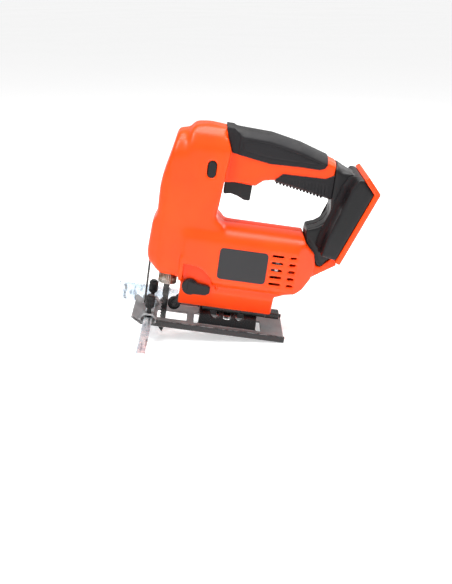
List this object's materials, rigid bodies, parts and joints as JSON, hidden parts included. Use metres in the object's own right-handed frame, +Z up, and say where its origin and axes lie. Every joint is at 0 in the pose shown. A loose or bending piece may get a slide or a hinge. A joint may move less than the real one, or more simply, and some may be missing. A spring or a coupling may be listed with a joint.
{
  "type": "cordless jigsaw",
  "caption": "Cordless power jigsaw with D-handle, tilting sheet-metal shoe, guide roller, rip fence and battery foot, built with its motor, gears and plunger.",
  "frame": {"origin": "where the blade's centre line crosses the underside of the shoe", "axes": "+Z up from the shoe's underside along the blade, -Y forward to the nose, +Y back to the battery foot, +X to the tool's left side, which carries the selector knob"},
  "size_m": [0.203, 0.2303, 0.2068],
  "materials": {
    "orange_shell": "smooth satin moulded shell",
    "soft_grip": "fine grained overmould",
    "foot_black": "satin moulded",
    "black_plastic": "satin moulded",
    "plate_face": "dark printed plate, no text",
    "shoe_steel": "dark coated pressed steel",
    "zinc_steel": "zinc plated",
    "bright_steel": "machined",
    "black_steel": "blackened",
    "collar_steel": "sintered, brownish",
    "motor_steel": "plated",
    "cast_alloy": "die cast",
    "bronze": "sintered",
    "copper": "bright",
    "ferrite": "sintered",
    "lead_jacket": "wire jacket"
  },
  "bodies": {
    "housing": {"housing_left": "orange_shell", "housing_right": "orange_shell", "housing_screws": "bright_steel", "top_grip_left": "soft_grip", "top_grip_right": "soft_grip", "under_grip_left": "soft_grip", "under_grip_right": "soft_grip", "foot_cover_left": "foot_black", "foot_cover_right": "foot_black", "battery_rim": "orange_shell", "battery_rails": "black_plastic", "terminal_block": "black_plastic", "terminal_blades": "copper", "rating_plate": "plate_face", "trigger_pin": "bright_steel", "trigger_spring": "bright_steel", "switch_body": "black_plastic", "motor_can": "motor_steel", "motor_magnets": "ferrite", "motor_end_cap": "bright_steel", "rear_bearing": "bright_steel", "front_bearing": "bright_steel", "brushes": "ferrite", "brush_holders": "black_plastic", "gear_shaft": "bright_steel", "gear_housing": "cast_alloy", "plunger_bush_lower": "bronze", "plunger_bush_upper": "bronze", "fork_pin": "bright_steel", "bevel_bracket": "shoe_steel", "clamp_plate": "bright_steel", "bevel_nut": "bright_steel", "guard_wire": "black_steel", "battery_leads": "lead_jacket", "motor_leads": "lead_jacket"},
    "armature": {"motor_shaft": "bright_steel", "armature": "motor_steel", "commutator": "copper", "cooling_fan": "black_plastic", "pinion": "bright_steel"},
    "drive_gear": {"drive_gear": "bright_steel", "crank_pin": "bright_steel", "crank_roller": "bright_steel"},
    "plunger": {"plunger": "bright_steel", "blade_clamp": "black_steel", "clamp_spring": "bright_steel", "blade": "black_steel"},
    "clamp_collar": {"clamp_collar": "collar_steel"},
    "roller_fork": {"roller_fork": "black_steel", "roller_pin": "black_steel"},
    "guide_roller": {"guide_roller": "black_steel"},
    "selector": {"selector_knob": "black_plastic", "selector_shaft": "black_plastic"},
    "trigger": {"trigger": "black_plastic"},
    "lock_off": {"lock_off_button": "black_plastic"},
    "shoe": {"shoe": "shoe_steel"},
    "rip_fence": {"rip_fence": "zinc_steel"},
    "fence_screw_left": {"fence_screw_left": "black_plastic"},
    "fence_screw_right": {"fence_screw_right": "black_plastic"},
    "bevel_bolt": {"bevel_bolt": "bright_steel"}
  },
  "joints": [
    {"name": "drive_gear_turn", "type": "hinge", "parent": "housing", "child": "drive_gear", "pos_m": [0, 0.0115, 0.09115], "axis": [0, 1, 0], "range_deg": [-90, 90]},
    {"name": "armature_turn", "type": "hinge", "parent": "housing", "child": "armature", "pos_m": [0, 0.07, 0.067], "axis": [0, 1, 0], "range_deg": [-475, 475]},
    {"name": "plunger_stroke", "type": "slide", "parent": "housing", "child": "plunger", "axis": [0, 0, -1], "range_m": [-0.009, 0.009]},
    {"name": "collar_twist", "type": "hinge", "parent": "plunger", "child": "clamp_collar", "pos_m": [0, 0, 0.036], "axis": [0, 0, 1], "range_deg": [0, 60], "stiffness_Nm_per_rad": 0.05, "springref_deg": -5.73},
    {"name": "orbit_swing", "type": "hinge", "parent": "housing", "child": "roller_fork", "pos_m": [0, 0.024, 0.0305], "axis": [1, 0, 0], "range_deg": [0, 4]},
    {"name": "guide_roller_spin", "type": "hinge", "parent": "roller_fork", "child": "guide_roller", "pos_m": [0, 0.00925, 0.014], "axis": [1, 0, 0], "continuous": true},
    {"name": "selector_turn", "type": "hinge", "parent": "housing", "child": "selector", "pos_m": [0.026, 0.022, 0.04], "axis": [1, 0, 0], "range_deg": [0, 90]},
    {"name": "trigger_pull", "type": "hinge", "parent": "housing", "child": "trigger", "pos_m": [0, 0.044, 0.147], "axis": [1, 0, 0], "range_deg": [0, 10], "stiffness_Nm_per_rad": 0.4, "springref_deg": -5.73, "deforming": ["trigger_spring"]},
    {"name": "lock_off_slide", "type": "slide", "parent": "housing", "child": "lock_off", "axis": [1, 0, 0], "range_m": [-0.003, 0.003], "stiffness_N_per_m": 300},
    {"name": "shoe_bevel", "type": "hinge", "parent": "housing", "child": "shoe", "pos_m": [0, 0.06, 0], "axis": [0, 1, 0], "range_deg": [-45, 45]},
    {"name": "fence_slide", "type": "slide", "parent": "shoe", "child": "rip_fence", "axis": [1, 0, 0], "range_m": [-0.09, 0.036]},
    {"name": "fence_screw_left_turn", "type": "hinge", "parent": "shoe", "child": "fence_screw_left", "pos_m": [0.025, -0.0128, 0.02], "axis": [0, 0, 1], "range_deg": [0, 180]},
    {"name": "fence_screw_right_turn", "type": "hinge", "parent": "shoe", "child": "fence_screw_right", "pos_m": [-0.025, -0.0128, 0.02], "axis": [0, 0, 1], "range_deg": [0, 180]},
    {"name": "bevel_bolt_turn", "type": "hinge", "parent": "housing", "child": "bevel_bolt", "pos_m": [0, 0.0605, 0.02], "axis": [0, 0, 1], "range_deg": [0, 180]}
  ],
  "couplings": [
    {"joint": "armature_turn", "follows": "drive_gear_turn", "ratio": -5.2727},
    {"joint": "plunger_stroke", "follows": "drive_gear_turn", "m_per_rad": 0.0057296}
  ]
}
